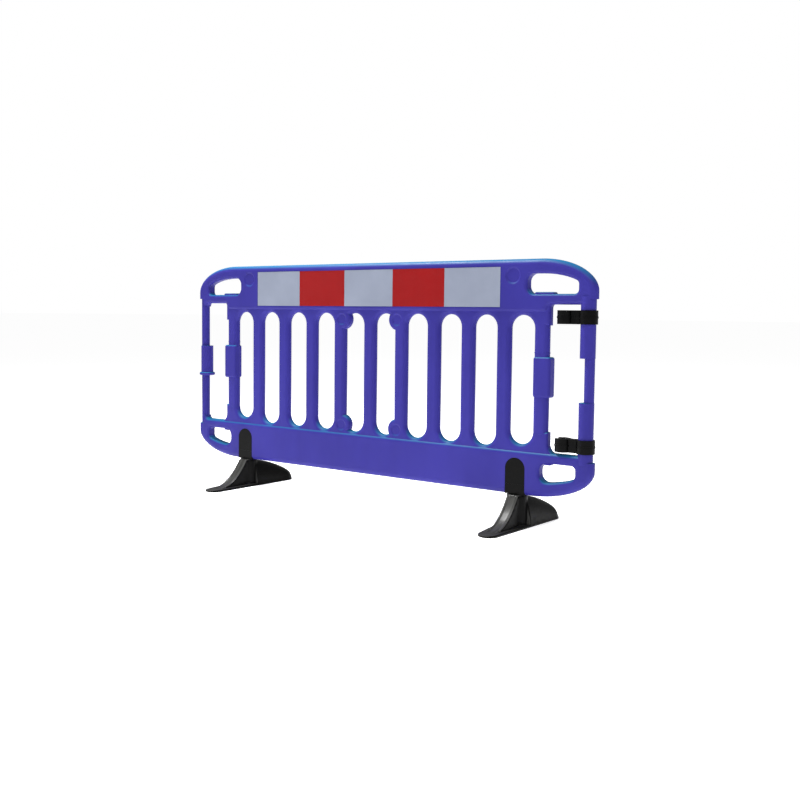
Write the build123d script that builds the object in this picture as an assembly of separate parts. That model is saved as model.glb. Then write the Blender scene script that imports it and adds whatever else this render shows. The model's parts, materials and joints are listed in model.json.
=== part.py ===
from build123d import *
import math
import os

# Two-metre blow-moulded pedestrian barrier: a hollow panel, two swivelling anti-trip feet, two linking
# clips and ten sheets of reflective film. Millimetres. X runs along the panel, the front faces -Y and
# Z is up from the ground. The origin is on the ground, under the middle of the panel.

# Panel, overall
panel_half = 1000.0
panel_top = 1000.0
panel_bottom = 120.0
rail_thick = 48.0
bar_thick = 36.0
wall = 3.0
rail_round = 22.5
bar_round = 17.4
top_corner = (222.0, 120.0)
bottom_corner = (252.0, 112.0)

# Field of bars and slots
slot_count = 10
slot_pitch = 157.2
slot_width = 98.0
slot_top = 793.0
slot_bottom = 295.0
end_slot_bottom = 311.0
field_top = 802.0
field_bottom = 288.0
field_round = 16.0
field_lap = 22.0
boss_radius = 44.0
boss_inset_x = 15.2
boss_inset_z = 25.0
boss_round = 13.0

# Round dishes pressed into the bosses and the top rail
dish_radius = 33.0
dish_floor = 26.0
dish_depth = 3.5
boss_dish = 26.0
rail_dish_x = 670.0
rail_dish_z = 940.0

# End windows and the posts beside them
post_clear = 8.0
window_top = 832.0
window_bottom = 288.0
window_corner = 15.0
inner_post_width = 58.6
plank_widen = 6.0
plank_reach = 76.0
corner_bury = 3.0
corner_root = 26.0
corner_set = 8.0
corner_round = 10.0
top_sweep = 16.0
bottom_sweep = 34.0
band_proud = 0.8
band_high = 5.0
band_heights = (352.0, 655.0)
grip_low = 490.0
grip_high = 640.0
grip_size = (70.0, 46.0)
grip_round = 9.0
grip_shift = 7.0
shoulder_low = 265.0
shoulder_high = 852.0
post_lap = 10.0
thick_post = 56.0
thin_post = 37.0
thin_setback = 0.5
link_neck_low = 480.0
link_neck_high = 640.0
link_boss_low = 500.0
link_boss_high = 632.0
flange_diameter = 72.0
flange_high = 14.0

# Hand holes
upper_hole = (727.0, 931.0, 871.0, 946.0)
lower_hole = (790.0, 932.0, 178.0, 249.0)
hole_inner_corner = 30.0
hole_outer_corner = 16.0
hole_rail = 54.0
hole_lean = 12.0
hole_round = 12.0
step_x = 836.0
step_high = 7.0

# Reflective film
film_length = 1235.0
film_low = 822.0
film_high = 972.0
film_blocks = 5
film_thick = 0.6
film_recess = 1.2
film_gap = 0.3
film_margin = 2.0

# Foot sockets
foot_x = 693.0
arch_width = 82.0
arch_top = 260.0
arch_gap = 0.3
socket_line = 160.0
socket_step = 0.8
cavity_radius = 18.0
cavity_low = 176.0

# Feet
toe_reach = 255.0
heel_reach = 255.0
toe_half = 39.0
waist_y = -150.0
waist_half = 46.0
heel_half = 78.0
heel_y = 190.0
sole_thick = 9.0
side_draft = 11.5
ramp_half = 26.0
ramp_top = 116.0
ramp_waist = (-85.0, 44.0)
ramp_foot = -210.0
fin_top = 115.0
fin_waist = (125.0, 89.0)
fin_heel_high = 24.0
below = 5.0
foot_wall = 4.0
rib_thick = 3.5
rib_spots = (110.0, 170.0)
neck_radius = 39.0
neck_top = 120.0
fixing_y = -175.0
fixing_spacing = 40.0
fixing_radius = 4.5

# Foot pivots, from the sole up
bolt_radius = 6.0
bolt_play = 0.3
head_across = 19.0
head_high = 8.0
washer_radius = 15.0
washer_thick = 2.5
thrust_radius = 36.0
thrust_thick = 2.0
well_radius = 19.0
web_low = 72.0
spigot_radius = 17.0
spigot_top = 158.0
spigot_play = 0.3
spigot_head = 2.0
nut_high = 10.0
bolt_spare = 4.0

# Linking clips
clip_high = 50.0
clip_middles = (322.0, 787.0)
clip_wall = 7.0
clip_play = 0.3
groove_depth = 1.5
groove_spare = 0.5
clip_pitch = 89.0
jaw_wall = 11.0
jaw_play = 0.5
mouth_half = 15.0
waist_thick = 26.0
rib_proud = 1.5
rib_high = 7.0

front = Plane.XZ


def plate(face, thick):
    """A front-view face given a thickness about the middle plane."""
    return extrude(front * face, amount=thick / 2, both=True)


def block(x0, x1, z0, z1):
    """A rectangle in the front view."""
    return Pos((x0 + x1) / 2, (z0 + z1) / 2) * Rectangle(x1 - x0, z1 - z0)


def rounded_plate(face, thick, radius):
    """A plate whose edges round over on both faces."""
    body = plate(face, thick)
    rims = body.edges().filter_by(lambda e: abs(abs(e.center().Y) - thick / 2) < 0.01)
    return fillet(rims, radius)


def corner_ellipse(size, inset, top):
    """The quarter ellipse that closes one corner of the panel, as its centre and half sizes."""
    a, b = size
    z = panel_top - b if top else panel_bottom + b
    return (panel_half - a, z), (a - inset, b - inset)


def outline(inset):
    """The panel's outer edge: a rectangle with an ellipse at each corner."""
    (tx, tz), (ta, tb) = corner_ellipse(top_corner, inset, True)
    (bx, bz), (ba, bb) = corner_ellipse(bottom_corner, inset, False)
    side = panel_half - inset
    upper = EllipticalCenterArc((tx, tz), ta, tb, start_angle=0, arc_size=90)
    lower = EllipticalCenterArc((bx, bz), ba, bb, start_angle=270, arc_size=90)
    lines = [
        Line((0, panel_top - inset), (tx, panel_top - inset)),
        upper,
        Line((side, tz), (side, bz)),
        lower,
        Line((bx, panel_bottom + inset), (0, panel_bottom + inset)),
        Line((0, panel_bottom + inset), (0, panel_top - inset)),
    ]
    right = make_face(lines)
    return right + mirror(right, about=Plane.YZ)


def slot_centres():
    """X of each slot's centre line."""
    middle = (slot_count - 1) / 2
    return [(index - middle) * slot_pitch for index in range(slot_count)]


inner_post_in = slot_centres()[-1] + slot_width / 2
inner_post_out = inner_post_in + inner_post_width
post_face = panel_half - post_clear
thick_x = post_face - thick_post / 2
thin_x = post_face - thin_post / 2 - thin_setback
window_out = thin_x - thin_post / 2
boss_x = slot_pitch - boss_inset_x
boss_spots = [
    (side * boss_x, height)
    for side in (-1, 1)
    for height in (slot_top - boss_inset_z, slot_bottom + boss_inset_z)
]
rail_dishes = [(-rail_dish_x, rail_dish_z), (rail_dish_x, rail_dish_z)]


def frame_opening(inset):
    """The one large opening of the frame, for the field of bars and the two end windows."""
    reach = inner_post_out + inset
    field = block(-reach, reach, field_bottom - inset, field_top + inset)
    start = inner_post_out - wall - inset
    right = block(start, window_out + inset, window_bottom - inset, window_top + inset)
    opening = field + right + mirror(right, about=Plane.YZ)
    corners = [v for v in opening.vertices() if abs(v.X) > start - wall]
    return fillet(corners, window_corner)


def hand_hole(box, corner, top, inset):
    """A hand hole that follows the corner of the panel along its outer edge."""
    x0, x1, z0, z1 = box[0] - inset, box[1] + inset, box[2] - inset, box[3] + inset
    (cx, cz), (a, b) = corner_ellipse(corner, hole_rail - inset, top)
    follow = Pos(cx, cz) * Ellipse(a + hole_lean, b)
    reach = block(x0, x1, z0, cz) if top else block(x0, x1, cz, z1)
    shape = (follow + reach) & block(x0, x1, z0, z1)
    if x0 < cx:
        shape = shape + block(x0, cx, z0, z1)
    for near, radius in ((True, hole_inner_corner), (False, hole_outer_corner)):
        corners = [v for v in shape.vertices() if (v.X < (x0 + x1) / 2) == near]
        shape = fillet(corners, radius + inset)
    return shape


def cut_dish(spot, thick, rim, inset):
    """A shallow dish pressed into both faces."""
    x, z = spot
    depth = dish_depth
    cone = Cone(rim + inset, rim - (dish_radius - dish_floor) + inset, depth)
    place = Pos(x, -(thick / 2 - depth / 2), z) * Rot(90, 0, 0)
    near = place * Rot(180, 0, 0) * cone
    return [near, mirror(near, about=Plane.XZ)]


def slot_face(x, low, inset):
    """A slot with half-round ends, grown all round by the inset."""
    height = slot_top - low + 2 * inset
    middle = (slot_top + low) / 2
    return Pos(x, middle) * SlotOverall(height, slot_width + 2 * inset, rotation=90)


def frame_body(inset):
    """The thick rails round the edge, with the hand holes."""
    thick = rail_thick - 2 * inset
    body = rounded_plate(outline(inset), thick, rail_round - inset)
    holes = [frame_opening(inset)]
    for box, corner, top in ((upper_hole, top_corner, True), (lower_hole, bottom_corner, False)):
        hole = hand_hole(box, corner, top, inset)
        holes += [hole, mirror(hole, about=Plane.YZ)]
    radii = [field_round - inset] + 4 * [hole_round - inset]
    for hole, radius in zip(holes, radii):
        cutter = plate(hole, thick)
        body = body - cutter
        box = cutter.bounding_box()
        rims = body.edges().filter_by(
            lambda e: abs(abs(e.center().Y) - thick / 2) < 0.01
            and box.min.X - 1 < e.center().X < box.max.X + 1
            and box.min.Z - 1 < e.center().Z < box.max.Z + 1
        )
        own = [e for e in rims if hole_touches(e, box)]
        body = fillet(own, radius)
    return body


def hole_touches(edge, box):
    """Whether an edge lies wholly within a hole's own bounds."""
    size = edge.bounding_box()
    inside_x = box.min.X - 1 < size.min.X and size.max.X < box.max.X + 1
    inside_z = box.min.Z - 1 < size.min.Z and size.max.Z < box.max.Z + 1
    return inside_x and inside_z


def bars_body(inset):
    """The thinner field of bars between the end windows."""
    thick = bar_thick - 2 * inset
    reach = inner_post_out - inset
    field = block(-reach, reach, field_bottom - field_lap, field_top + field_lap)
    for x in slot_centres():
        low = end_slot_bottom if abs(x) > inner_post_in - slot_pitch else slot_bottom
        field = field - slot_face(x, low, inset)
    body = plate(field, thick)
    ends = (field_bottom - field_lap, field_top + field_lap)
    rims = body.edges().filter_by(
        lambda e: abs(abs(e.center().Y) - thick / 2) < 0.01
        and min(abs(e.center().Z - end) for end in ends) > 1
    )
    body = fillet(rims, bar_round - inset)
    for x, z in boss_spots:
        disc = rounded_plate(Pos(x, z) * Circle(boss_radius - inset), thick, boss_round - inset)
        body = body + disc
    return body


def column(x, diameter, low, high, inset, ends=(0, 0)):
    """A round length of post; each end may also be drawn in."""
    foot, head = low + ends[0], high - ends[1]
    return Pos(x, 0, foot) * Cylinder(diameter / 2 - inset, head - foot, align=(Align.CENTER, Align.CENTER, Align.MIN))


def soft_box(x0, x1, depth, z0, z1, radius):
    """A box with every edge rounded."""
    body = Pos((x0 + x1) / 2, 0, (z0 + z1) / 2) * Box(x1 - x0, depth, z1 - z0)
    return fillet(body.edges(), radius)


def clip_grooves(inset):
    """Rings cut round the right-hand post, where the clips sit."""
    rings = []
    for middle in clip_middles:
        high = clip_high + 2 * groove_spare + 2 * inset
        outer = Pos(thick_x, 0, middle) * Cylinder(thick_post, high)
        rings.append(outer - Pos(thick_x, 0, middle) * Cylinder(thick_post / 2 - groove_depth - inset, high))
    return rings


def end_posts(inset):
    """Right: a thick post with a thin neck. Left: a thin post with a thick boss and a flange."""
    low = shoulder_low - post_lap
    high = shoulder_high + post_lap
    shut = inset
    right = [
        column(thick_x, thick_post, low, link_neck_low, inset, (shut, shut)),
        column(thin_x, thin_post, link_neck_low - 3 * wall, link_neck_high + 3 * wall, inset),
        column(thick_x, thick_post, link_neck_high, high, inset, (shut, shut)),
    ]
    left = [
        column(-thin_x, thin_post, low, high, inset, (shut, shut)),
        column(-thick_x, thick_post, link_boss_low, link_boss_high, inset, (shut, shut)),
    ]
    if not inset:
        flange = Pos(-thick_x, 0, link_boss_low) * Cylinder(flange_diameter / 2, flange_high)
        left.append(fillet(flange.edges(), flange_high / 2 - 1))
    grooved = Part() + right
    return [grooved - clip_grooves(inset), Part() + left]


def post_corner(level, rise, reach, sweep):
    """The wide end of the right-hand inner post, swept round into the rail above or below the window."""
    far = level + rise * reach
    root = level - rise * corner_bury
    deep = level - rise * corner_root
    leg_out = inner_post_out + plank_widen
    leg = block(inner_post_in + corner_set, leg_out, *sorted((deep, far)))
    strip = block(inner_post_in + corner_set, leg_out + sweep + corner_root, *sorted((deep, root)))
    shape = leg + strip
    inner = [v for v in shape.vertices() if abs(v.X - leg_out) < 0.01 and abs(v.Y - root) < 0.01]
    return rounded_plate(fillet(inner, sweep), bar_thick, corner_round)


def post_trim():
    """Swept ends and bands on each inner post, for the right end."""
    high = post_corner(window_top, -1, plank_reach, top_sweep)
    low = post_corner(window_bottom, 1, plank_reach, bottom_sweep)
    bands = []
    for height in band_heights:
        width = inner_post_width + 2 * band_proud
        ring = Pos((inner_post_in + inner_post_out) / 2, 0, height) * Box(
            width, bar_thick + 2 * band_proud, band_high
        )
        ring = fillet(ring.edges().filter_by(Axis.Z), bar_round)
        bands.append(ring)
    return [high, low] + bands


def grip_block(inset):
    """The block halfway up each inner post, for the right end."""
    width, depth = grip_size
    middle = (inner_post_in + inner_post_out) / 2 + grip_shift
    return soft_box(middle - width / 2 + inset, middle + width / 2 - inset, depth - 2 * inset,
                    grip_low + inset, grip_high - inset, grip_round - inset)


def step_pads():
    """The raised inner half of each hand hole's edge, for the right end."""
    thick = rail_thick - hole_round
    high = soft_box(upper_hole[0] + hole_inner_corner, step_x, thick, upper_hole[2] - hole_round,
                    upper_hole[2] + step_high, step_high - 1)
    low = soft_box(lower_hole[0] + hole_inner_corner / 2, step_x, thick, lower_hole[3] - step_high,
                   lower_hole[3] + hole_round, step_high - 1)
    return [high, low]


def arch(inset):
    """The arch-topped way through the lower beam for one foot socket."""
    half = arch_width / 2 + inset
    shape = Pos(foot_x, arch_top - arch_width / 2) * Circle(half)
    return shape + block(foot_x - half, foot_x + half, panel_bottom - 2 * wall, arch_top - arch_width / 2)


def end_cuts(inset):
    """Boxes at the right end that clear the plate away from the end post and the shoulders."""
    room = 4 * wall
    shoulder = Pos((thick_x + panel_half + room) / 2 - inset / 2, 0, (shoulder_low + shoulder_high) / 2) * Box(
        panel_half - thick_x + room + inset, rail_thick, shoulder_high - shoulder_low + 2 * inset
    )
    start = window_out - wall - inset
    low = window_bottom + window_corner - inset
    high = window_top - window_corner + inset
    gap = Pos((start + panel_half) / 2, 0, (low + high) / 2) * Box(panel_half - start, rail_thick, high - low)
    return [shoulder, gap]


def skin(inset):
    """The panel's whole form, drawn in by the inset: once for the outside, once for the hollow."""
    body = frame_body(inset) + bars_body(inset)
    for cut in end_cuts(inset):
        body = body - [cut, mirror(cut, about=Plane.YZ)]
    body = body + end_posts(inset)
    grip = grip_block(inset)
    body = body + [grip, mirror(grip, about=Plane.YZ)]
    for spot in boss_spots:
        body = body - cut_dish(spot, bar_thick - 2 * inset, boss_dish, inset)
    for spot in rail_dishes:
        body = body - cut_dish(spot, rail_thick - 2 * inset, dish_radius, inset)
    reach = film_length / 2 + film_margin
    face = rail_thick / 2 - inset
    recess = Pos(0, face - film_recess / 2, (film_low + film_high) / 2) * Box(
        2 * reach, film_recess, film_high - film_low + 2 * film_margin
    )
    body = body - [recess, mirror(recess, about=Plane.XZ)]
    way = plate(arch(arch_gap + inset), rail_thick)
    return body - [way, mirror(way, about=Plane.YZ)]


def make_panel():
    """One hollow moulding: the outside less the same form drawn in by the wall."""
    outside = skin(0)
    for piece in post_trim() + step_pads():
        outside = outside + [piece, mirror(piece, about=Plane.YZ)]
    return outside - skin(wall)


def upright_pin(radius, low, high, hole=0.0):
    """A round piece standing on the pivot axis of the right-hand foot."""
    body = Pos(foot_x, 0, low) * Cylinder(radius, high - low, align=(Align.CENTER, Align.CENTER, Align.MIN))
    if hole:
        body = body - Pos(foot_x, 0, (low + high) / 2) * Cylinder(hole, 2 * (high - low))
    return body


def hexagon_piece(across, low, high):
    """A hexagonal head or nut blank on the pivot axis."""
    face = Pos(foot_x, 0, low) * RegularPolygon(across / 2, 6, major_radius=False)
    return extrude(face, amount=high - low)


socket_bottom = neck_top + thrust_thick
nut_low = cavity_low + washer_thick
nut_top = nut_low + nut_high
head_low = web_low - washer_thick - head_high


def make_socket():
    """The arch-shaped insert that closes the beam and carries the foot's spigot and bolt."""
    body = plate(arch(0), rail_thick)
    body = body - Pos(foot_x, 0, socket_bottom) * Box(
        2 * arch_width, 2 * rail_thick, panel_bottom, align=(Align.CENTER, Align.CENTER, Align.MAX)
    )
    line = Pos(foot_x, 0, socket_line) * Box(2 * arch_width, 2 * rail_thick, socket_step)
    core = Pos(foot_x, 0, socket_line) * Box(2 * arch_width, rail_thick - 2 * socket_step, 2 * socket_step)
    body = body - (line - core)
    spigot_room = spigot_radius + spigot_play
    body = body - upright_pin(spigot_room, socket_bottom - 1, spigot_top + spigot_head)
    body = body - upright_pin(bolt_radius + bolt_play, socket_bottom, cavity_low + 1)
    return body - upright_pin(cavity_radius, cavity_low, arch_top - wall - cavity_radius / 2)


def sole_outline(inset):
    """The foot's plan: a rounded toe, straight sides that spread to the heel, and a rounded heel."""
    toe = toe_half - inset
    heel = heel_half - inset
    right = [
        EllipticalCenterArc((0, -toe_reach + toe_half), toe, toe_half - inset, start_angle=270, arc_size=90),
        Line((toe, -toe_reach + toe_half), (waist_half - inset, waist_y)),
        Line((waist_half - inset, waist_y), (heel, heel_y)),
        Spline((heel, heel_y), (0, heel_reach - inset), tangents=((0.05, 1), (-1, 0))),
        Line((0, heel_reach - inset), (0, -toe_reach + inset)),
    ]
    half = make_face(right)
    return half + mirror(half, about=Plane.YZ)


def side_view(lines):
    """A solid as wide as the foot, from an outline drawn in the side view."""
    face = Plane.YZ * make_face(lines)
    return extrude(face, amount=2 * heel_half, both=True)


def ramp_profile(drop):
    """The concave slope from the neck down to the toe, lowered by the wall for the inside."""
    start = (-neck_radius, ramp_top - drop)
    middle = (ramp_waist[0] + drop, ramp_waist[1] - drop / 3)
    end = (ramp_foot + drop, -below)
    return side_view([
        ThreePointArc(start, middle, end),
        Line(end, (0, -below)),
        Line((0, -below), (0, ramp_top - drop)),
        Line((0, ramp_top - drop), start),
    ])


def fin_profile(drop):
    """The rounded back of the foot, from the neck down to the heel."""
    top = fin_top - drop
    heel = heel_reach + below
    return side_view([
        Line((0, -below - drop), (0, top)),
        ThreePointArc((0, top), (fin_waist[0], fin_waist[1] - drop), (heel, fin_heel_high - drop)),
        Line((heel, fin_heel_high - drop), (heel, -below - drop)),
        Line((heel, -below - drop), (0, -below - drop)),
    ])


def hull_form(inset):
    """The foot's plan carried up with sloping sides, drawn in by the inset."""
    high = ramp_top + wall
    lean = high * math.tan(math.radians(side_draft))
    return loft([sole_outline(inset), Pos(0, 0, high) * sole_outline(inset + lean)])


def make_foot():
    """One anti-trip foot, pivot axis at the origin, toe towards -Y."""
    sole = extrude(sole_outline(0), amount=sole_thick)
    rim = sole.edges().filter_by(lambda e: e.center().Z > sole_thick - 0.1)
    sole = chamfer(rim, 2.0)
    hull = hull_form(0)
    ramp = (hull & ramp_profile(0)) & Pos(0, 0, ramp_top / 2) * Box(2 * ramp_half, 3 * toe_reach, 2 * ramp_top)
    fin = hull & fin_profile(0)
    neck = Cylinder(neck_radius, neck_top, align=(Align.CENTER, Align.CENTER, Align.MIN))
    body = sole + ramp + fin + neck
    inner = hull_form(foot_wall)
    ramp_room = inner & ramp_profile(foot_wall) & Pos(0, 0, ramp_top / 2) * Box(
        2 * (ramp_half - foot_wall), 3 * toe_reach, 2 * ramp_top
    )
    fin_room = inner & fin_profile(foot_wall)
    well_wall = Cylinder(well_radius + foot_wall, 2 * neck_top)
    ribs = [Box(rib_thick, 2 * heel_reach, 2 * neck_top)]
    ribs += [Pos(0, y, 0) * Box(2 * heel_half, rib_thick, 2 * neck_top) for y in rib_spots]
    rooms = [room - well_wall - ribs for room in (ramp_room, fin_room)]
    body = body - rooms
    body = body - Cylinder(well_radius, 2 * web_low)
    spigot = Pos(0, 0, neck_top - wall) * Cylinder(
        spigot_radius, spigot_top - neck_top + wall, align=(Align.CENTER, Align.CENTER, Align.MIN)
    )
    body = body + spigot - Cylinder(bolt_radius + bolt_play, 4 * spigot_top)
    for side in (-1, 1):
        body = body - Pos(side * fixing_spacing / 2, fixing_y, 0) * Cylinder(fixing_radius, 4 * sole_thick)
    return Pos(foot_x, 0, 0) * body


def make_clip(middle):
    """One linking clip: a ring round the end post, a bridge, and an open jaw for the next barrier."""
    ring_in = thick_post / 2 - groove_depth + clip_play
    ring_out = ring_in + clip_wall
    jaw_in = thin_post / 2 + jaw_play
    jaw_out = jaw_in + jaw_wall
    jaw_x = thick_x - clip_pitch
    ring = Pos(thick_x, 0, middle) * Cylinder(ring_out, clip_high)
    jaw = Pos(jaw_x, 0, middle) * Cylinder(jaw_out, clip_high)
    bridge = Pos((thick_x + jaw_x) / 2, 0, middle) * Box(clip_pitch, waist_thick, clip_high)
    body = ring + jaw + bridge
    ribs = Pos(thick_x, 0, middle) * Cylinder(ring_out + rib_proud, rib_high)
    ribs = ribs + Pos(jaw_x, 0, middle) * Cylinder(jaw_out + rib_proud, rib_high)
    body = body + ribs
    body = body - Pos(thick_x, 0, middle) * Cylinder(ring_in, 2 * clip_high)
    body = body - Pos(jaw_x, 0, middle) * Cylinder(jaw_in, 2 * clip_high)
    mouth = Pos(jaw_x - jaw_out, 0, middle) * Box(2 * jaw_out, 2 * mouth_half, 2 * clip_high)
    return body - mouth


def make_film(index):
    """One block of reflective film on the front face."""
    width = film_length / film_blocks
    x = (index - (film_blocks - 1) / 2) * width
    y = -(rail_thick / 2 - film_recess + film_thick / 2)
    return Pos(x, y, (film_low + film_high) / 2) * Box(width - film_gap, film_thick, film_high - film_low)


def make_parts():
    """Every piece by name."""
    parts = {"panel": make_panel()}
    colours = ["white", "red"]
    for index in range(film_blocks):
        film = make_film(index)
        name = f"film_{index + 1}_{colours[index % 2]}"
        parts["front_" + name] = film
        parts["rear_" + name] = mirror(film, about=Plane.XZ)
    pivot = {
        "foot_socket": make_socket(),
        "foot": make_foot(),
        "thrust_washer": upright_pin(thrust_radius, neck_top, socket_bottom, spigot_radius + spigot_play),
        "pivot_bolt": upright_pin(bolt_radius, head_low, nut_top + bolt_spare)
        + hexagon_piece(head_across, head_low, head_low + head_high),
        "lower_washer": upright_pin(washer_radius, web_low - washer_thick, web_low, bolt_radius + bolt_play),
        "upper_washer": upright_pin(washer_radius, cavity_low, nut_low, bolt_radius + bolt_play),
        "pivot_nut": hexagon_piece(head_across, nut_low, nut_top) - upright_pin(bolt_radius, nut_low - 1, nut_top + 1),
    }
    for name, piece in pivot.items():
        parts["right_" + name] = piece
        parts["left_" + name] = mirror(piece, about=Plane.YZ)
    parts["lower_link_clip"] = make_clip(clip_middles[0])
    parts["upper_link_clip"] = make_clip(clip_middles[1])
    return parts


os.makedirs("parts", exist_ok=True)
for name, piece in make_parts().items():
    export_step(piece, f"parts/{name}.step")
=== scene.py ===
import json
import math
import bpy
import numpy as np
from mathutils import Matrix, Vector


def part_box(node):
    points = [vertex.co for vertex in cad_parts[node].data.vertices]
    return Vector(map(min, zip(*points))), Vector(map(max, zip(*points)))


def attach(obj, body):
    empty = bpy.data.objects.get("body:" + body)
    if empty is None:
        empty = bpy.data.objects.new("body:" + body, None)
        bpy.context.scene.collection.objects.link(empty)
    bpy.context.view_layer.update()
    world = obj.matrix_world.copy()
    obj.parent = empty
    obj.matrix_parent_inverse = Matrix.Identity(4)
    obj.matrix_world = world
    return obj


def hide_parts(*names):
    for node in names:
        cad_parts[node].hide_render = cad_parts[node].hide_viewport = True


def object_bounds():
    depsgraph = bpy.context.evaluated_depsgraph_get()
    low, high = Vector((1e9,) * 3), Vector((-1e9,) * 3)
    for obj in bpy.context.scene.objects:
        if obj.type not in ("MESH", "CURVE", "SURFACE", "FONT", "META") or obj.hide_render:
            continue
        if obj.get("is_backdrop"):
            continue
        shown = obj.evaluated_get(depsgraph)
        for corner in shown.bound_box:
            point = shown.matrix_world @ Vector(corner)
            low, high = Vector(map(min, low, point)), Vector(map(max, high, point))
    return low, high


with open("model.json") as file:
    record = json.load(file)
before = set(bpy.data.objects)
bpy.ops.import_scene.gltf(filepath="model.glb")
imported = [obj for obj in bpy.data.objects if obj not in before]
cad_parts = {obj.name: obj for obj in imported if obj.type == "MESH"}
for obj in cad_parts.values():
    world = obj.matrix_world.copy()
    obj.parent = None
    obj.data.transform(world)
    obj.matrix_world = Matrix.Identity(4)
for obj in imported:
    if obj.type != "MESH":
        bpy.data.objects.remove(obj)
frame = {"nodes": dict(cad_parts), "record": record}
cadLow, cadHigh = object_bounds()
nodes = frame["nodes"]
print("frame: %d nodes" % len(nodes))


def linearColour(hexText, alpha=1.0):
    # sRGB hex to the linear values that the shaders work in
    values = [int(hexText[i:i + 2], 16) / 255 for i in (1, 3, 5)]
    return [v / 12.92 if v <= 0.04045 else ((v + 0.055) / 1.055) ** 2.4 for v in values] + [alpha]


def addNode(tree, kind, settings=None, links=None):
    # one node: settings are its properties or input values, links are {input: output socket}
    node = tree.nodes.new(kind)
    for key, value in (settings or {}).items():
        if isinstance(key, int) or key in node.inputs:
            node.inputs[key].default_value = value
        else:
            setattr(node, key, value)
    for key, source in (links or {}).items():
        tree.links.new(source, node.inputs[key])
    return node


def newMaterial(name, shaderValues):
    material = bpy.data.materials.new(name)
    material.use_nodes = True
    tree = material.node_tree
    shader = tree.nodes["Principled BSDF"]
    for key, value in shaderValues.items():
        shader.inputs[key].default_value = value
    place = addNode(tree, "ShaderNodeTexCoord").outputs["Object"]
    return material, tree, shader, place


def ramp(tree, source, stops):
    # a colour ramp from (position, value) pairs; a value is a grey level or a colour
    node = addNode(tree, "ShaderNodeValToRGB", links={"Fac": source})
    points = node.color_ramp.elements
    while len(points) < len(stops):
        points.new(0.5)
    for point, (position, value) in zip(points, stops):
        point.position = position
        point.color = value if isinstance(value, list) else [value, value, value, 1]
    return node.outputs["Color"]


def mixColours(tree, share, first, second, blendType="MIX"):
    # share, first and second are sockets or fixed values
    node = addNode(tree, "ShaderNodeMix", {"data_type": "RGBA", "blend_type": blendType})
    for index, value in ((0, share), (6, first), (7, second)):
        if isinstance(value, (int, float, list)):
            node.inputs[index].default_value = value
        else:
            tree.links.new(value, node.inputs[index])
    return node.outputs[2]


def paint(piece, material):
    piece.data.materials.clear()
    piece.data.materials.append(material)


def meshPiece(name, points, faces, smooth=True):
    mesh = bpy.data.meshes.new(name)
    mesh.from_pydata(points.tolist(), [], faces if isinstance(faces, list) else faces.tolist())
    mesh.validate()
    mesh.polygons.foreach_set("use_smooth", np.full(len(mesh.polygons), smooth))
    mesh.update()
    piece = bpy.data.objects.new(name, mesh)
    bpy.context.scene.collection.objects.link(piece)
    return piece


# Blue panel plastic
panelPlastic = {
    "body": "#332E8B",        # violet-blue polyethylene
    "deep": "#2D287F",        # where the skin cooled last
    "paintedSkyLight": "#0A6A94",         # painted sky light: cyan painted on the faces that look up, standing in for light from above
    "roughness": 0.46,
    "flowSize": 0.22,         # metres between the soft streaks of the blown skin
    "orangePeel": 0.0028,     # metres between the dimples of the mould's blasted surface
    "orangeDepth": 0.00006,
    "scuffSize": 0.035,
}


def blowMouldedPolyethylene(given):
    # polyethylene blown against a blasted mould: waxy, softly uneven sheen, faint streaks, and a painted
    # sky light: a cyan tint painted on the faces that look up, as if they were lit from above
    material, tree, shader, place = newMaterial("blowMouldedPolyethylene", {
        "Roughness": given["roughness"], "IOR": 1.52, "Specular IOR Level": 0.15,
    })
    stretched = addNode(tree, "ShaderNodeMapping", {"Scale": (1.0, 1.0, 0.35)}, {"Vector": place})
    flow = addNode(tree, "ShaderNodeTexNoise", {"Scale": 1 / given["flowSize"], "Detail": 3.0},
                   {"Vector": stretched.outputs["Vector"]})
    share = ramp(tree, flow.outputs["Fac"], [(0.35, 0.0), (0.65, 1.0)])
    base = mixColours(tree, share, linearColour(given["deep"]), linearColour(given["body"]))
    normal = addNode(tree, "ShaderNodeNewGeometry").outputs["Normal"]
    # painted sky light: the more a face's normal points up, the more of the cyan tint it gets
    lift = addNode(tree, "ShaderNodeSeparateXYZ", links={"Vector": normal}).outputs["Z"]
    paintedSkyShare = ramp(tree, lift, [(0.30, 0.0), (0.95, 1.0)])
    base = mixColours(tree, paintedSkyShare, base, linearColour(given["paintedSkyLight"]))
    tree.links.new(base, shader.inputs["Base Color"])
    scuffs = addNode(tree, "ShaderNodeTexNoise", {"Scale": 1 / given["scuffSize"], "Detail": 6.0,
                                                  "Roughness": 0.65}, {"Vector": place})
    rough = addNode(tree, "ShaderNodeMapRange", {"From Min": 0.3, "From Max": 0.7,
                    "To Min": given["roughness"] - 0.07, "To Max": given["roughness"] + 0.10},
                    {"Value": scuffs.outputs["Fac"]})
    tree.links.new(rough.outputs["Result"], shader.inputs["Roughness"])
    peel = addNode(tree, "ShaderNodeTexNoise", {"Scale": 1 / given["orangePeel"], "Detail": 2.0},
                   {"Vector": place})
    bump = addNode(tree, "ShaderNodeBump", {"Strength": 0.35, "Distance": given["orangeDepth"]},
                   {"Height": peel.outputs["Fac"]})
    waves = addNode(tree, "ShaderNodeBump", {"Strength": 0.30, "Distance": 0.002},
                    {"Height": flow.outputs["Fac"], "Normal": bump.outputs["Normal"]})
    tree.links.new(waves.outputs["Normal"], shader.inputs["Normal"])
    return material


# Reflective film
filmSettings = {
    "white": "#878E9F",       # silver-white sheeting
    "red": "#8C0508",
    "cell": 0.0042,           # metres across one sealed honeycomb cell
    "wallShare": 0.07,
    "roughness": 0.28,
}


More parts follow.
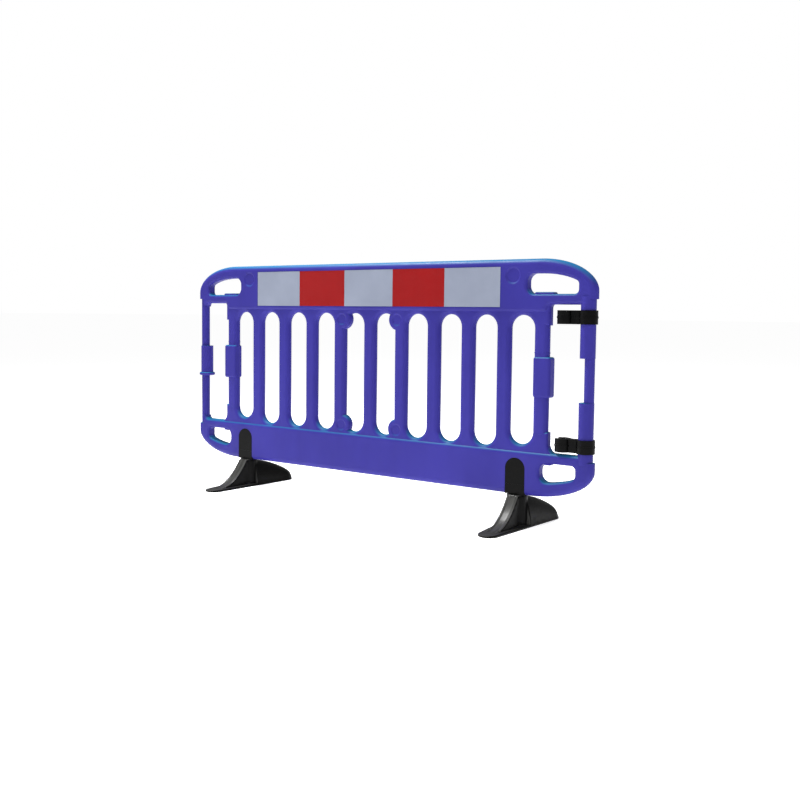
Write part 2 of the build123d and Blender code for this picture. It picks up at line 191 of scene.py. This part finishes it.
def honeycombFilm(name, colour, given):
    # prismatic film sealed in cells under clear acrylic: a fine lighter net and a soft clear gloss
    material, tree, shader, place = newMaterial(name, {
        "Roughness": given["roughness"], "Coat Weight": 0.06, "Coat Roughness": 0.12, "IOR": 1.49,
        "Specular IOR Level": 0.1,
    })
    flat = addNode(tree, "ShaderNodeMapping", {"Scale": (1.0, 0.0, 1.0)}, {"Vector": place})
    cells = addNode(tree, "ShaderNodeTexVoronoi", {"feature": "DISTANCE_TO_EDGE", "Randomness": 0.15,
                    "Scale": 1 / given["cell"]}, {"Vector": flat.outputs["Vector"]})
    net = ramp(tree, cells.outputs["Distance"], [(0.0, 1.0), (given["wallShare"], 0.0)])
    cloud = addNode(tree, "ShaderNodeTexNoise", {"Scale": 9.0, "Detail": 3.0}, {"Vector": place})
    tone = ramp(tree, cloud.outputs["Fac"], [(0.3, 0.90), (0.7, 1.0)])
    plain = linearColour(colour)
    pale = [min(1.0, 0.85 * v + 0.05) for v in plain[:3]] + [1.0]
    base = mixColours(tree, net, plain, pale)
    base = mixColours(tree, 1.0, base, tone, "MULTIPLY")
    tree.links.new(base, shader.inputs["Base Color"])
    bump = addNode(tree, "ShaderNodeBump", {"Strength": 0.25, "Distance": 0.0001}, {"Height": net})
    tree.links.new(bump.outputs["Normal"], shader.inputs["Normal"])
    return material


# Black moulded plastic
blackPlastic = {
    "body": "#020202",
    "grey": "#141312",        # dust and scuffs
    "roughness": 0.34,
    "grain": 0.0011,          # metres between the spark-eroded pits of the tool
    "scuffSize": 0.018,
    "paintedHighlight": "#4C4C4A",        # painted highlight: lighter grey painted on the ramp and toe where they face front and up
    "highlightFacing": (0.0, -0.60, 0.80),
    "highlightRoughness": 0.27,
    "streakSize": 0.010,
}


def paintedHighlightShare(tree, place, given):
    # how much painted highlight each point gets: its normal's dot product with a fixed front-up facing,
    # broken into streaks that run down the slope
    normal = addNode(tree, "ShaderNodeTexCoord").outputs["Normal"]
    facing = addNode(tree, "ShaderNodeVectorMath", {"operation": "DOT_PRODUCT", 1: given["highlightFacing"]},
                     {0: normal}).outputs["Value"]
    paintedGlint = ramp(tree, facing, [(0.70, 0.0), (0.96, 1.0)])
    stretched = addNode(tree, "ShaderNodeMapping", {"Scale": (1.0, 0.08, 0.08)}, {"Vector": place})
    streaks = addNode(tree, "ShaderNodeTexNoise", {"Scale": 1 / given["streakSize"], "Detail": 6.0,
                      "Roughness": 0.7}, {"Vector": stretched.outputs["Vector"]})
    broken = ramp(tree, streaks.outputs["Fac"], [(0.30, 0.35), (0.68, 1.0)])
    return mixColours(tree, 1.0, paintedGlint, broken, "MULTIPLY")


def injectionMouldedPolypropylene(name, given, paintedHighlight):
    # black recycled polypropylene from a spark-eroded tool: a fine pebble grain, satin gloss, dusty scuffs
    material, tree, shader, place = newMaterial(name, {
        "Roughness": given["roughness"], "IOR": 1.49, "Specular IOR Level": 0.10,
    })
    dust = addNode(tree, "ShaderNodeTexNoise", {"Scale": 1 / given["scuffSize"], "Detail": 7.0,
                                                "Roughness": 0.7}, {"Vector": place})
    share = ramp(tree, dust.outputs["Fac"], [(0.52, 0.0), (0.78, 0.55)])
    base = mixColours(tree, share, linearColour(given["body"]), linearColour(given["grey"]))
    rough = addNode(tree, "ShaderNodeMapRange", {"From Min": 0.3, "From Max": 0.75,
                    "To Min": given["roughness"] - 0.08, "To Max": given["roughness"] + 0.22},
                    {"Value": dust.outputs["Fac"]}).outputs["Result"]
    if paintedHighlight:
        # painted highlight: faces turned front and up are painted lighter grey and made glossier, standing
        # in for light caught on the ramp and toe
        paintedGlint = paintedHighlightShare(tree, place, given)
        base = mixColours(tree, paintedGlint, base, linearColour(given["paintedHighlight"]))
        shine = given["highlightRoughness"]
        rough = mixColours(tree, paintedGlint, rough, [shine, shine, shine, 1])
    tree.links.new(base, shader.inputs["Base Color"])
    tree.links.new(rough, shader.inputs["Roughness"])
    grain = addNode(tree, "ShaderNodeTexVoronoi", {"Scale": 1 / given["grain"]}, {"Vector": place})
    bump = addNode(tree, "ShaderNodeBump", {"Strength": 0.30, "Distance": 0.00005},
                   {"Height": grain.outputs["Distance"]})
    tree.links.new(bump.outputs["Normal"], shader.inputs["Normal"])
    return material


# Zinc-plated steel
def zincPlatedSteel():
    # bright passivated zinc: cool grey with faint yellow bloom, slightly dull
    material, tree, shader, place = newMaterial("zincPlatedSteel", {"Metallic": 1.0, "Roughness": 0.34})
    bloom = addNode(tree, "ShaderNodeTexNoise", {"Scale": 160.0, "Detail": 4.0}, {"Vector": place})
    base = mixColours(tree, bloom.outputs["Fac"], linearColour("#B9BCC0"), linearColour("#C9C2A6"))
    tree.links.new(base, shader.inputs["Base Color"])
    bump = addNode(tree, "ShaderNodeBump", {"Strength": 0.2, "Distance": 0.00005},
                   {"Height": bloom.outputs["Fac"]})
    tree.links.new(bump.outputs["Normal"], shader.inputs["Normal"])
    return material


panelMaterial = blowMouldedPolyethylene(panelPlastic)
whiteFilm = honeycombFilm("silverWhiteFilm", filmSettings["white"], filmSettings)
redFilm = honeycombFilm("redFilm", filmSettings["red"], filmSettings)
blackMaterial = injectionMouldedPolypropylene("injectionMouldedPolypropylene", blackPlastic, False)
# the feet's material carries the painted highlight on the ramp and toe
footMaterial = injectionMouldedPolypropylene("polypropyleneWithPaintedHighlight", blackPlastic, True)
steelMaterial = zincPlatedSteel()
slotMaterials = {
    "panel_plastic": panelMaterial, "film_white": whiteFilm, "film_red": redFilm,
    "black_plastic": blackMaterial, "washer_plastic": blackMaterial, "zinc_steel": steelMaterial,
}
for row in frame["record"]["subparts"]:
    paint(nodes[row["node"]], slotMaterials[row["material_slot"]])
print("materials: CAD nodes painted")


# Anti-trip feet
footShape = {
    "toe": 0.255, "heel": 0.255,              # reach from the pivot, metres
    "plan": [(-0.255, 0.0), (-0.216, 0.039), (-0.150, 0.046), (0.190, 0.078), (0.255, 0.0)],
    "sole": 0.009, "soleRound": 0.004,
    "rampHalf": 0.0235, "rampEdge": 0.0035, "rampTop": 0.117, "rampFoot": -0.212, "rampPower": 2.35,
    "lip": 0.0022, "lipWidth": 0.0045,        # raised ridge along each side of the ramp
    "finArc": [(0.0, 0.115), (0.125, 0.089), (0.260, 0.024)], "finSquare": 3.2, "finSoft": 0.55,
    "neck": 0.0385, "neckTop": 0.120, "neckDraft": 0.006,
    "spigot": 0.017, "spigotTop": 0.158,
    "well": 0.019, "wellTop": 0.072,
    "wall": 0.004, "rib": 0.0035, "ribPlaces": (0.110, 0.170), "rim": 0.005,
    "holeY": -0.175, "holeX": 0.020, "hole": 0.0045, "holeFloor": 0.002,
    "rows": 320, "columns": 130,
}


def smoothStep(low, high, value):
    t = np.clip((value - low) / (high - low), 0, 1)
    return t * t * (3 - 2 * t)


def planHalfWidth(y, given):
    # half the foot's width at y: an ellipse round the toe, a straight taper, an ellipse round the heel
    toeEnd, toeStart, waist, shoulder, heelEnd = given["plan"]
    straight = np.interp(y, [toeStart[0], waist[0], shoulder[0]], [toeStart[1], waist[1], shoulder[1]])
    toe = toeStart[1] * np.sqrt(np.clip(1 - ((toeStart[0] - y) / (toeStart[0] - toeEnd[0])) ** 2, 0, 1))
    heel = shoulder[1] * np.sqrt(np.clip(1 - ((y - shoulder[0]) / (heelEnd[0] - shoulder[0])) ** 2, 0, 1))
    return np.where(y < toeStart[0], toe, np.where(y > shoulder[0], heel, straight))


def arcHeight(y, through):
    # height at y of the circle through three (y, z) points, on the side away from its centre
    (y1, z1), (y2, z2), (y3, z3) = through
    lines = np.array([[y2 - y1, z2 - z1], [y3 - y1, z3 - z1]])
    middle = np.array([y2 ** 2 - y1 ** 2 + z2 ** 2 - z1 ** 2, y3 ** 2 - y1 ** 2 + z3 ** 2 - z1 ** 2]) / 2
    centreY, centreZ = np.linalg.solve(lines, middle)
    return centreZ + np.sqrt((y1 - centreY) ** 2 + (z1 - centreZ) ** 2 - (y - centreY) ** 2)


def footTop(x, y, given):
    # height of the foot's outside: the highest of a rounded sole, a hollow-curved ramp with a ridge
    # along each side, a rounded fin behind the neck, the neck itself and its spigot
    half = np.maximum(planHalfWidth(y, given), 1e-5)
    inset = half - np.abs(x)
    edge = np.clip(inset / given["soleRound"], 0, 1)
    height = given["sole"] - given["soleRound"] * (1 - np.sqrt(1 - (1 - edge) ** 2))
    fall = np.clip((y - given["rampFoot"]) / (-given["neck"] - given["rampFoot"]), 0, 1)
    crest = given["sole"] * 0.9 + (given["rampTop"] - given["sole"]) * fall ** given["rampPower"]
    fromLip = (np.abs(x) - given["rampHalf"] + given["lipWidth"]) / given["lipWidth"]
    ridge = given["lip"] * np.exp(-fromLip ** 2)
    crest = crest + ridge * smoothStep(0.02, 0.2, fall)
    side = 1 - smoothStep(given["rampHalf"], given["rampHalf"] + given["rampEdge"], np.abs(x))
    ramp = np.where(y < 0, height + (crest - height) * side, 0)
    back = arcHeight(np.clip(y, 0, given["heel"]), given["finArc"])
    spread = np.clip(np.abs(x) / (0.985 * half), 0, 1)
    fin = np.where(y >= 0, back * (1 - spread ** given["finSquare"]) ** given["finSoft"], 0)
    fromAxis = np.hypot(x, y)
    neckEdge = smoothStep(given["neck"] - 0.0005, given["neck"] + given["neckDraft"], fromAxis)
    neck = given["neckTop"] * (1 - neckEdge)
    spigot = given["spigotTop"] * (fromAxis < given["spigot"])
    return np.maximum.reduce([height, ramp, fin, neck, spigot])


def footUnder(x, y, top, given):
    # height of the underside: the ground under the rim, ribs and well wall, and a wall's
    # thickness below the outside elsewhere
    half = planHalfWidth(y, given)
    hollow = np.clip(top - given["wall"], 0, given["neckTop"] - given["wall"])
    fromAxis = np.hypot(x, y)
    solid = (half - np.abs(x) < given["rim"]) | (np.abs(x) < given["rib"] / 2)
    solid |= (y < given["rampFoot"] + 0.02) | ((y < 0) & (np.abs(x) > given["rampHalf"] - given["wall"]))
    for place in given["ribPlaces"]:
        solid |= np.abs(y - place) < given["rib"] / 2
    solid |= (fromAxis < given["well"] + given["wall"]) | (hollow < 2 * given["wall"])
    under = np.where(solid, 0.0, hollow)
    under = np.where(fromAxis < given["well"], given["wellTop"], under)
    return under


def makeFoot(name, axisX, given):
    # rows run from toe to heel and columns across; the top and under grids share their outline
    rows, columns = given["rows"], given["columns"]
    ease = (1 - np.cos(np.linspace(0, math.pi, rows))) / 2
    linear = np.linspace(0, 1, rows)
    y = -given["toe"] + (given["toe"] + given["heel"]) * (0.25 * ease + 0.75 * linear)
    y = np.clip(y, -given["toe"] + 1e-5, given["heel"] - 1e-5)
    across = np.linspace(-1, 1, columns)
    gridY, gridS = np.meshgrid(y, across, indexing="ij")
    gridX = gridS * planHalfWidth(gridY, given)
    top = footTop(gridX, gridY, given)
    under = footUnder(gridX, gridY, top, given)
    for side in (-1, 1):
        fixing = np.hypot(gridX - side * given["holeX"], gridY - given["holeY"])
        top = np.where(fixing < given["hole"], given["holeFloor"], top)
    upper = np.stack([gridX + axisX, gridY, top], -1).reshape(-1, 3)
    lower = np.stack([gridX + axisX, gridY, np.minimum(under, top)], -1).reshape(-1, 3)
    index = np.arange(rows * columns).reshape(rows, columns)
    quad = np.stack([index[:-1, :-1], index[:-1, 1:], index[1:, 1:], index[1:, :-1]], -1).reshape(-1, 4)
    base = rows * columns
    faces = [quad, quad[:, ::-1] + base]
    ring = np.concatenate([index[0, :], index[1:, -1], index[-1, -2::-1], index[-2:0:-1, 0]])
    after = np.roll(ring, -1)
    faces.append(np.stack([ring, ring + base, after + base, after], -1))
    return meshPiece(name, np.concatenate([upper, lower]), np.concatenate(faces))


for side in ("left", "right"):
    low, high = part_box(side + "_foot")
    foot = makeFoot(side + "FootShell", (low.x + high.x) / 2, footShape)
    paint(foot, footMaterial)
    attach(foot, side + "_foot")
    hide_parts(side + "_foot")
print("feet: made")


# Mould line of the blown panel
mouldLine = {
    "radius": 0.0011, "sink": 0.0004,         # a pinched bead, just proud of the edge
    "topCorner": (0.222, 0.120), "bottomCorner": (0.252, 0.112),
    "shoulderLow": 0.2645, "shoulderHigh": 0.8525,
    "socketX": 0.693, "socketHalf": 0.0425,
    "step": 0.006, "around": 10,
}


def cornerArc(centre, size, start, end, given):
    # points on a quarter ellipse: centre plus (a cos t, b sin t)
    count = int(max(size) * abs(end - start) / given["step"])
    t = np.linspace(start, end, count)
    return np.stack([centre[0] + size[0] * np.cos(t), centre[1] + size[1] * np.sin(t)], -1)


def beadAlong(name, path, radius, around):
    # a round section carried along an open path in the plane y = 0, closed by a cone at each end
    forward = np.gradient(path, axis=0)
    forward /= np.linalg.norm(forward, axis=1)[:, None]
    outward = np.stack([forward[:, 1], -forward[:, 0]], -1)
    angle = np.linspace(0, 2 * math.pi, around, endpoint=False)
    size = np.full(len(path), radius)
    size[0] = size[-1] = radius * 0.05
    flat = path[:, None, :] + outward[:, None, :] * (size[:, None] * np.cos(angle))[:, :, None]
    depth = size[:, None] * np.sin(angle)
    points = np.stack([flat[..., 0], depth, flat[..., 1]], -1).reshape(-1, 3)
    index = np.arange(len(path) * around).reshape(len(path), around)
    after = np.roll(index, -1, axis=1)
    quads = np.stack([index[:-1], after[:-1], after[1:], index[1:]], -1).reshape(-1, 4)
    caps = [index[0, ::-1].tolist(), index[-1].tolist()]
    return meshPiece(name, points, quads.tolist() + caps)


def mouldLinePaths(given):
    half, top = cadHigh.x, cadHigh.z
    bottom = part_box("panel")[0].z
    sink = given["sink"]
    (ta, tb), (ba, bb) = given["topCorner"], given["bottomCorner"]
    turn = math.pi / 2
    right = cornerArc((half - ta, top - tb), (ta - sink, tb - sink), 0, turn, given)
    side = np.array([[half - sink, given["shoulderHigh"]]])
    upper = np.concatenate([side, right])
    upper = np.concatenate([upper, (upper * [-1, 1])[::-1]])
    corner = cornerArc((half - ba, bottom + bb), (ba - sink, bb - sink), 0, -turn, given)
    corner = corner[corner[:, 0] > given["socketX"] + given["socketHalf"]]
    foot = np.array([[half - sink, given["shoulderLow"]]])
    socket = given["socketX"] + given["socketHalf"]
    end = np.array([[socket, bottom + sink]])
    lowerRight = np.concatenate([foot, corner, end])
    inner = given["socketX"] - given["socketHalf"]
    middle = np.array([[inner, bottom + sink], [-inner, bottom + sink]])
    return {"top": upper[::-1], "bottomRight": lowerRight, "bottomLeft": (lowerRight * [-1, 1])[::-1],
            "bottomMiddle": middle}


for place, path in mouldLinePaths(mouldLine).items():
    bead = beadAlong("mouldLine_" + place, path, mouldLine["radius"], mouldLine["around"])
    paint(bead, panelMaterial)
    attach(bead, "panel")
print("mould line: made")


# Studio
studio = {
    "floor": "#FFFFFF",
    "floorGlow": 0.62,
    "floorSize": 400.0,
    "world": 0.36,
    "backdrop": 1.0,
    "lights": {
        "key": {"power": 95.0, "place": (3.2, -3.4, 4.6), "size": 2.6},
        "fill": {"power": 22.0, "place": (-4.5, -4.0, 2.6), "size": 3.5},
        "top": {"power": 230.0, "place": (-1.3, -0.35, 3.9), "size": 0.9},
    },
}


def areaLight(name, power, place, size, aim=(0.0, 0.0, 0.5)):
    light = bpy.data.lights.new(name, "AREA")
    light.energy = power
    light.size = size
    piece = bpy.data.objects.new(name, light)
    piece.location = place
    piece.rotation_euler = (Vector(aim) - Vector(place)).to_track_quat("-Z", "Y").to_euler()
    bpy.context.scene.collection.objects.link(piece)


def makeFloor(given):
    reach = given["floorSize"] / 2
    mesh = bpy.data.meshes.new("floor")
    corners = [(-reach, -reach, 0), (reach, -reach, 0), (reach, reach, 0), (-reach, reach, 0)]
    mesh.from_pydata(corners, [], [(0, 1, 2, 3)])
    floor = bpy.data.objects.new("floor", mesh)
    bpy.context.scene.collection.objects.link(floor)
    material, tree, shader, place = newMaterial("paleSweep", {
        "Base Color": linearColour(given["floor"]), "Roughness": 0.9, "Specular IOR Level": 0.0,
        "Emission Color": (1, 1, 1, 1), "Emission Strength": given["floorGlow"],
    })
    paint(floor, material)
    floor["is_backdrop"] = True


makeFloor(studio)
for name, light in studio["lights"].items():
    areaLight(name, light["power"], light["place"], light["size"])


def makeWorld(given):
    # soft light from all round, with a plain white backdrop behind the object
    world = bpy.data.worlds.new("studioWorld")
    world.use_nodes = True
    tree = world.node_tree
    tree.nodes["Background"].inputs["Color"].default_value = (1, 1, 1, 1)
    tree.nodes["Background"].inputs["Strength"].default_value = given["world"]
    backdrop = addNode(tree, "ShaderNodeBackground", {"Color": (1, 1, 1, 1), "Strength": given["backdrop"]})
    seen = addNode(tree, "ShaderNodeLightPath").outputs["Is Camera Ray"]
    both = addNode(tree, "ShaderNodeMixShader", links={
        0: seen, 1: tree.nodes["Background"].outputs[0], 2: backdrop.outputs[0]})
    tree.links.new(both.outputs[0], tree.nodes["World Output"].inputs["Surface"])
    bpy.context.scene.world = world


makeWorld(studio)


# Camera
view = {
    "place": (2.3164, -3.1332, 0.7920),
    "yaw": -0.6058,           # radians from +Y towards -X
    "pitch": -0.0608,
    "roll": 0.0112,
    "lens": 42.16,            # millimetres on a 36 mm sensor
    "shift": (0.00075, -0.0363),
}


def makeCamera(given):
    yaw, pitch, roll = given["yaw"], given["pitch"], given["roll"]
    forward = Vector((math.sin(yaw) * math.cos(pitch), math.cos(yaw) * math.cos(pitch), math.sin(pitch)))
    level = Vector((math.cos(yaw), -math.sin(yaw), 0.0))
    above = level.cross(forward)
    right = level * math.cos(roll) + above * math.sin(roll)
    up = above * math.cos(roll) - level * math.sin(roll)
    turn = Matrix((right, up, -forward)).transposed()
    data = bpy.data.cameras.new("camera")
    data.lens = given["lens"]
    data.sensor_width = 36.0
    data.shift_x, data.shift_y = given["shift"]
    camera = bpy.data.objects.new("camera", data)
    camera.matrix_world = Matrix.Translation(given["place"]) @ turn.to_4x4()
    bpy.context.scene.collection.objects.link(camera)
    bpy.context.scene.camera = camera


makeCamera(view)
bpy.context.scene.view_settings.view_transform = "Standard"
print("studio: floor, lights and camera")

low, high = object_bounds()
